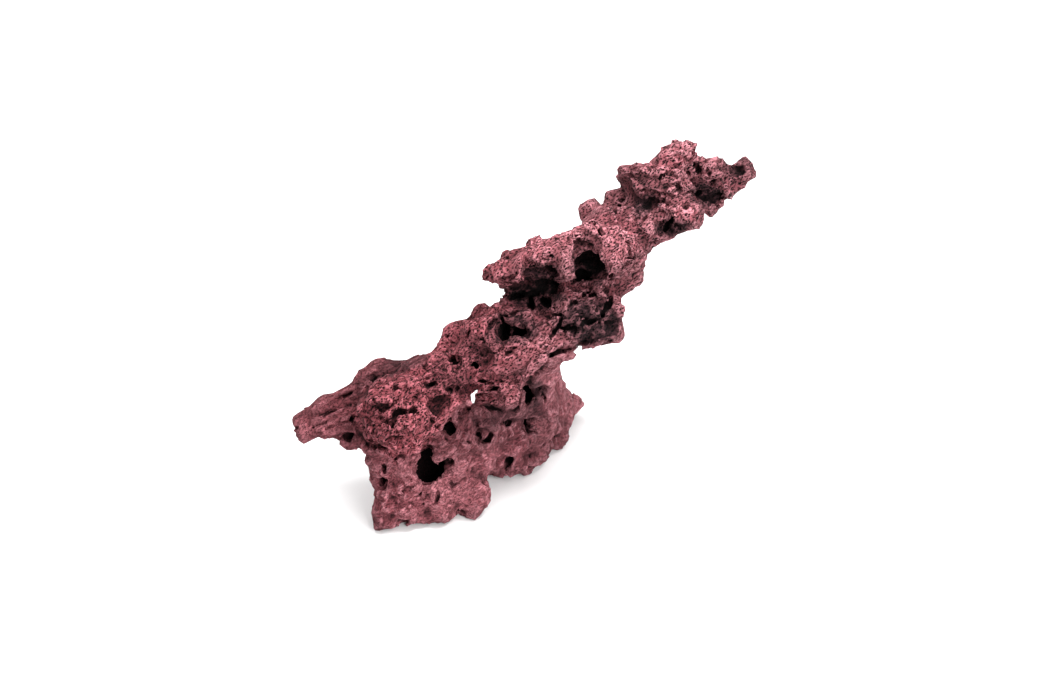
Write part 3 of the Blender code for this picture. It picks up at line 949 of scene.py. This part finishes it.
def rock_skin(node):
    """The rock's detailed surface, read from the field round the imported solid."""
    field, uncut, low = rock_field(node)
    places, faces = surface(field, low)
    faces = largest_piece(faces, len(places))
    used, faces = np.unique(faces, return_inverse=True)
    mesh = bpy.data.meshes.new("rock surface")
    mesh.from_pydata((places[used] * MM).tolist(), [], faces.reshape(-1, 4).tolist())
    made = bpy.data.objects.new("rock_surface", mesh)
    bpy.context.scene.collection.objects.link(made)
    thinned(made)
    corners = np.empty(3 * len(made.data.vertices), dtype=np.float32)
    made.data.vertices.foreach_get("co", corners)
    corners = corners.reshape(-1, 3) / MM
    keep_relief(made.data, corners, field, uncut, low)
    keep_colours(made.data, corners)
    made.data.shade_smooth()
    return made


def linear(hexes):
    """An sRGB colour such as "8A4A50" as linear red, green, blue and alpha."""
    parts = [int(hexes[k : k + 2], 16) / 255 for k in (0, 2, 4)]
    return tuple(c / 12.92 if c <= 0.04045 else ((c + 0.055) / 1.055) ** 2.4 for c in parts) + (1.0,)


def node(tree, kind, settings=None, **links):
    """A new node with its settings, and its sockets set to values or joined to other sockets. A
    socket goes by its name, or by i and its number."""
    made = tree.nodes.new(kind)
    for name, value in (settings or {}).items():
        setattr(made, name, value)
    for name, value in links.items():
        numbered = name[0] == "i" and name[1:].isdigit()
        socket = made.inputs[int(name[1:]) if numbered else name.replace("_", " ")]
        if isinstance(value, bpy.types.NodeSocket):
            tree.links.new(value, socket)
        else:
            socket.default_value = value
    return made


COVER = {"data_type": "RGBA"}
TINT = {"data_type": "RGBA", "blend_type": "MULTIPLY"}


def stained_and_shaded_stone(tree):
    """Dusty pink stone in two tones, with patches about 42 mm across, and greyer and darker in patches that
    are partly stain and partly painted shade.
    """
    place = node(tree, "ShaderNodeTexCoord").outputs["Object"]
    noise = node(tree, "ShaderNodeTexNoise", Vector=place, Scale=1 / (42 * MM), Detail=5.0, Roughness=0.6)
    share = node(tree, "ShaderNodeMapRange", Value=noise.outputs["Fac"], i1=0.35, i2=0.65)
    stone = node(tree, "ShaderNodeMix", COVER, i0=share.outputs["Result"],
                 i6=linear("5A2E33"), i7=linear("74454A"))
    dark = node(tree, "ShaderNodeAttribute", {"attribute_name": "dark patch"}).outputs["Fac"]
    # Painted shade mixed with grey stain: the patches are darkened towards 35242A.
    stain = node(tree, "ShaderNodeMath", {"operation": "MULTIPLY"}, i0=dark, i1=0.75).outputs["Value"]
    return node(tree, "ShaderNodeMix", COVER, i0=stain, i6=stone.outputs[2], i7=linear("35242A")).outputs[2]


def painted_highlight_and_shade(tree, stone):
    """The stone with a painted highlight that pales it on sharp crests, and painted shade that darkens it
    in dips, pits and hollows, whose depths are in millimetres."""
    broad = node(tree, "ShaderNodeAttribute", {"attribute_name": "broad crest"}).outputs["Fac"]
    fine = node(tree, "ShaderNodeAttribute", {"attribute_name": "fine crest"}).outputs["Fac"]
    inside = node(tree, "ShaderNodeAttribute", {"attribute_name": "depth in hollow"}).outputs["Fac"]
    # Painted shade: broad dips, where the skin sinks below the mean round it, are darkened towards 2A1215.
    clear_of_painted_shade = node(tree, "ShaderNodeMapRange", Value=broad, i1=-2.6, i2=-0.2).outputs["Result"]
    stone = node(tree, "ShaderNodeMix", COVER, i0=clear_of_painted_shade, i6=linear("2A1215"), i7=stone).outputs[2]
    # Painted highlight: sharp crests are paled towards 8C5A60.
    crest_highlight = node(tree, "ShaderNodeMapRange", Value=fine, i1=0.1, i2=0.8).outputs["Result"]
    stone = node(tree, "ShaderNodeMix", COVER, i0=crest_highlight, i6=stone, i7=linear("8C5A60")).outputs[2]
    # Painted shade: small pits and creases are darkened nearly to black, 1A090B.
    sunk = node(tree, "ShaderNodeMapRange", Value=fine, i1=-0.25, i2=-1.1).outputs["Result"]
    stone = node(tree, "ShaderNodeMix", COVER, i0=sunk, i6=stone, i7=linear("1A090B")).outputs[2]
    # Painted shade: the floors of the cut hollows, from 2.5 to 8 mm deep, are darkened to 120607.
    painted_shade_in_hollows = node(tree, "ShaderNodeMapRange", Value=inside, i1=2.5, i2=8.0).outputs["Result"]
    return node(tree, "ShaderNodeMix", COVER, i0=painted_shade_in_hollows, i6=stone, i7=linear("120607")).outputs[2]


def open_pores(tree):
    """From 0 in a pore to 1 on the stone between: pores 1.9 mm apart, and grit between them. Grit
    on such stone is under 1 mm, and is drawn 1.4 mm wide so that it shows."""
    place = node(tree, "ShaderNodeAttribute", {"attribute_name": "grain place"}).outputs["Vector"]
    dots = node(tree, "ShaderNodeTexVoronoi", Vector=place, Scale=1 / (1.9 * MM)).outputs["Distance"]
    noise = node(tree, "ShaderNodeTexNoise", Vector=place, Scale=1 / (1.4 * MM), Detail=2.0, Roughness=0.7)
    grit = node(tree, "ShaderNodeMapRange", Value=noise.outputs["Fac"], i1=0.34, i2=0.52, i3=0.25, i4=1.0)
    pore = node(tree, "ShaderNodeMapRange", Value=dots, i1=0.12, i2=0.42).outputs["Result"]
    both = node(tree, "ShaderNodeMath", {"operation": "MULTIPLY"}, i0=pore, i1=grit.outputs["Result"])
    return both.outputs["Value"]


def reef_rock():
    """Dry coralline reef rock, grown in the sea and dried in air: chalky and dull, with no shine,
    with a painted highlight on its crests and painted shade, nearly black, in its pores and hollows."""
    made = bpy.data.materials.new("dry coralline reef rock")
    made.use_nodes = True
    tree = made.node_tree
    skin = tree.nodes["Principled BSDF"]
    skin.inputs["Roughness"].default_value = 0.95
    skin.inputs["Specular IOR Level"].default_value = 0.15
    stone = painted_highlight_and_shade(tree, stained_and_shaded_stone(tree))
    redder = node(tree, "ShaderNodeAttribute", {"attribute_name": "redder"}).outputs["Fac"]
    stone = node(tree, "ShaderNodeMix", TINT, i0=redder, i6=stone, i7=linear("FFDCE0")).outputs[2]
    # Painted shade and painted light: the stone is darkened in the grey and shaded patches, and paled in the
    # pale ones and on the foot.
    tone = node(tree, "ShaderNodeAttribute", {"attribute_name": "tone"}).outputs["Fac"]
    stone = node(tree, "ShaderNodeMix", TINT, i0=1.0, i6=stone, i7=tone).outputs[2]
    pores = open_pores(tree)
    # Painted shade: pores too fine to model are darkened as dots, and the grit between them varies the
    # stone's own colour.
    pore_shade_and_grit = node(tree, "ShaderNodeMapRange", Value=pores, i1=0.2, i2=0.95, i3=0.0, i4=1.6).outputs["Result"]
    grainy = node(tree, "ShaderNodeAttribute", {"attribute_name": "grain"}).outputs["Fac"]
    stone = node(tree, "ShaderNodeMix", TINT, i0=grainy, i6=stone, i7=pore_shade_and_grit).outputs[2]
    tree.links.new(stone, skin.inputs["Base Color"])
    bump = node(tree, "ShaderNodeBump", Height=pores, Strength=1.0, Distance=1.8 * MM).outputs["Normal"]
    tree.links.new(bump, skin.inputs["Normal"])
    return made


def white_paper():
    """Matt white background paper: even, with no grain and no shine."""
    made = bpy.data.materials.new("matt white paper")
    made.use_nodes = True
    skin = made.node_tree.nodes["Principled BSDF"]
    skin.inputs["Base Color"].default_value = linear("E4E4E4")
    skin.inputs["Roughness"].default_value = 0.9
    return made


def floor():
    """A wide white table top."""
    mesh = bpy.data.meshes.new("table top")
    far = FLOOR_HALF
    mesh.from_pydata([(-far, -far, 0), (far, -far, 0), (far, far, 0), (-far, far, 0)], [], [(0, 1, 2, 3)])
    made = bpy.data.objects.new("floor", mesh)
    bpy.context.scene.collection.objects.link(made)
    made.data.materials.append(white_paper())


def studio():
    """Soft light from above, from the front right and from behind on the left, in a white room."""
    world = bpy.data.worlds.new("white room")
    world.use_nodes = True
    world.node_tree.nodes["Background"].inputs["Color"].default_value = (1, 1, 1, 1)
    world.node_tree.nodes["Background"].inputs["Strength"].default_value = ROOM_LIGHT
    bpy.context.scene.world = world
    for box in SOFTBOXES:
        lamp = bpy.data.lights.new(box.name, "AREA")
        lamp.size = box.width
        lamp.energy = box.watts
        made = bpy.data.objects.new(box.name, lamp)
        made.location = box.place
        made.rotation_euler = (Vector(box.aim) - made.location).to_track_quat("-Z", "Y").to_euler()
        bpy.context.scene.collection.objects.link(made)


def camera():
    """The photograph's view: from the front, looking down at the arm's face, with a long lens."""
    back = Vector(face_axes()[2])
    lens = bpy.data.cameras.new("camera")
    lens.sensor_width = 36
    lens.lens = lens.sensor_width * VIEW_FROM / VIEW_WIDTH
    made = bpy.data.objects.new("camera", lens)
    made.location = (Vector(FACE_CENTRE) + VIEW_FROM * back) * MM
    made.rotation_euler = (-back).to_track_quat("-Z", "Y").to_euler()
    bpy.context.scene.collection.objects.link(made)
    bpy.context.scene.camera = made


rock = rock_skin("rock")
rock.data.materials.append(reef_rock())
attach(rock, "root")
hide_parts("rock")
floor()
studio()
camera()
bpy.context.scene.view_settings.view_transform = "Standard"
